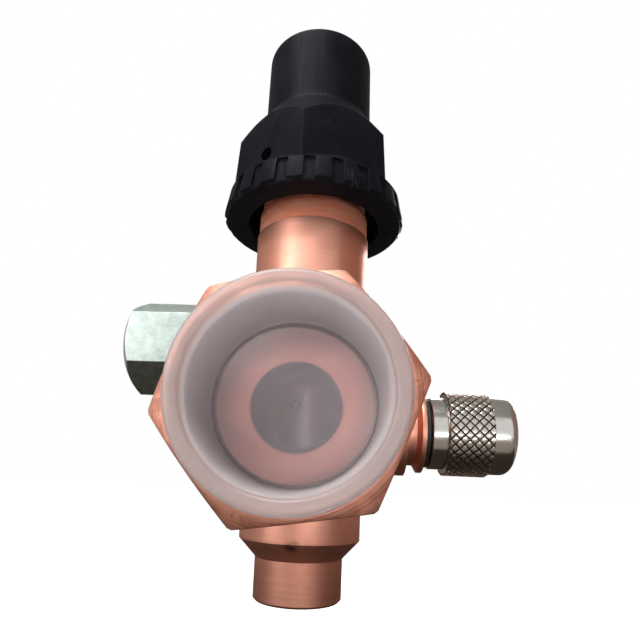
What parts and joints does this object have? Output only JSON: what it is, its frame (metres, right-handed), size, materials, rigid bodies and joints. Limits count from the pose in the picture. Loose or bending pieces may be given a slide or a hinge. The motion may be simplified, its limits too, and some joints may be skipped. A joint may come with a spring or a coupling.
{
  "type": "refrigerant service valve",
  "caption": "Shut-off service valve for a refrigeration compressor: screwed port nut with protective plug, solder socket, gauge ports with caps and a capped stem.",
  "frame": {"origin": "centre of the solder socket's mouth, on the stem axis", "axes": "+Z along the stem axis towards the stem cap, -Y along the compressor port's axis out of its nut, +X towards the knurled port cap, -X towards the hexagon port cap"},
  "size_m": [0.066, 0.0509, 0.0997],
  "materials": {
    "copper_plated_steel": "copper plated, satin, turned",
    "nickel_plated_brass": "nickel plated, bright",
    "zinc_plated_steel": "zinc plated, mottled",
    "black_nylon": "moulded, satin black",
    "frosted_polyethylene": "moulded, frosted and translucent",
    "black_rubber": "moulded",
    "plain_brass": "turned",
    "bright_steel": "turned",
    "soft_copper": "stamped copper",
    "white_fluoropolymer": "plain"
  },
  "bodies": {
    "valve": {"valve_body": "copper_plated_steel", "compressor_stub": "copper_plated_steel", "right_port_fitting": "copper_plated_steel", "right_port_o_ring": "black_rubber", "left_port_fitting": "copper_plated_steel", "valve_core_body": "plain_brass", "valve_core_seal": "white_fluoropolymer", "valve_core_spring": "bright_steel", "packing_washer": "bright_steel", "packing_rings": "white_fluoropolymer", "gland_nut": "bright_steel"},
    "port_nut": {"compressor_nut": "copper_plated_steel"},
    "plug": {"protective_plug": "frosted_polyethylene"},
    "disc": {"stem_disc": "plain_brass"},
    "stem": {"stem": "bright_steel"},
    "cap_seal": {"stem_cap_seal": "black_rubber"},
    "cap": {"stem_cap": "black_nylon"},
    "right_seal": {"right_cap_seal": "black_rubber"},
    "right_cap": {"right_port_cap": "nickel_plated_brass"},
    "left_gasket": {"left_cap_gasket": "soft_copper"},
    "left_cap": {"left_port_cap": "zinc_plated_steel"},
    "core_pin": {"valve_core_pin": "plain_brass"}
  },
  "joints": [
    {"name": "nut_spin", "type": "hinge", "parent": "valve", "child": "port_nut", "pos_m": [0, 0, 0.0292], "axis": [0, -1, 0], "continuous": true},
    {"name": "plug_pull", "type": "slide", "parent": "port_nut", "child": "plug", "axis": [0, -1, 0], "range_m": [0, 0.016]},
    {"name": "disc_lift", "type": "slide", "parent": "valve", "child": "disc", "axis": [0, 0, 1], "range_m": [0, 0.01]},
    {"name": "stem_turn", "type": "hinge", "parent": "disc", "child": "stem", "pos_m": [0, 0, 0], "axis": [0, 0, 1], "range_deg": [0, 2880]},
    {"name": "cap_rise", "type": "slide", "parent": "valve", "child": "cap_seal", "axis": [0, 0, 1], "range_m": [0, 0.006]},
    {"name": "cap_turn", "type": "hinge", "parent": "cap_seal", "child": "cap", "pos_m": [0, 0, 0], "axis": [0, 0, 1], "range_deg": [0, 1440]},
    {"name": "right_cap_back_off", "type": "slide", "parent": "valve", "child": "right_seal", "axis": [1, 0, 0], "range_m": [0, 0.00762]},
    {"name": "right_cap_turn", "type": "hinge", "parent": "right_seal", "child": "right_cap", "pos_m": [0, 0, 0.0285], "axis": [1, 0, 0], "range_deg": [0, 2160]},
    {"name": "left_cap_back_off", "type": "slide", "parent": "valve", "child": "left_gasket", "axis": [-1, 0, 0], "range_m": [0, 0.00762]},
    {"name": "left_cap_turn", "type": "hinge", "parent": "left_gasket", "child": "left_cap", "pos_m": [0, 0, 0.042], "axis": [-1, 0, 0], "range_deg": [0, 2160]},
    {"name": "core_pin_press", "type": "slide", "parent": "valve", "child": "core_pin", "axis": [-1, 0, 0], "range_m": [0, 0.0015], "stiffness_N_per_m": 600, "deforming": ["valve_core_spring"]}
  ],
  "couplings": [
    {"joint": "disc_lift", "follows": "stem_turn", "m_per_rad": 0.00019894},
    {"joint": "cap_rise", "follows": "cap_turn", "m_per_rad": 0.00023873},
    {"joint": "right_cap_back_off", "follows": "right_cap_turn", "m_per_rad": 0.00020212},
    {"joint": "left_cap_back_off", "follows": "left_cap_turn", "m_per_rad": 0.00020212}
  ]
}
